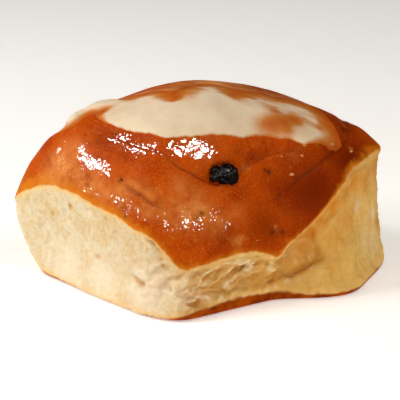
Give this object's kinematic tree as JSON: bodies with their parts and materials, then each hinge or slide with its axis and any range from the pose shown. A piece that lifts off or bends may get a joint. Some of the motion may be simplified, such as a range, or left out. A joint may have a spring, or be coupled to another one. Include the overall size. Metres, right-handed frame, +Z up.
{
  "type": "chelsea bun",
  "caption": "Squarish pull-apart sweet bun with a domed brown glazed crust, torn pale sides, a band of white icing and a raisin in its fold.",
  "frame": {"origin": "on the flat base, under the middle of the part's box", "axes": "+Z up out of the base; the torn left side faces -Y, the ragged front side faces +X, and the near corner of the picture lies between them"},
  "size_m": [0.1004, 0.0958, 0.0678],
  "materials": {
    "crust": "baked sweet dough: glossy glazed brown crust on top, dry pale cream crumb on the torn sides, browned base",
    "icing": "set white sugar icing, soft gloss, thin and half clear at its edge",
    "raisin": "wrinkled near-black dried fruit with a wet gloss"
  },
  "bodies": {
    "root": {"bun": "crust", "icing": "icing", "raisin": "raisin"}
  },
  "joints": []
}
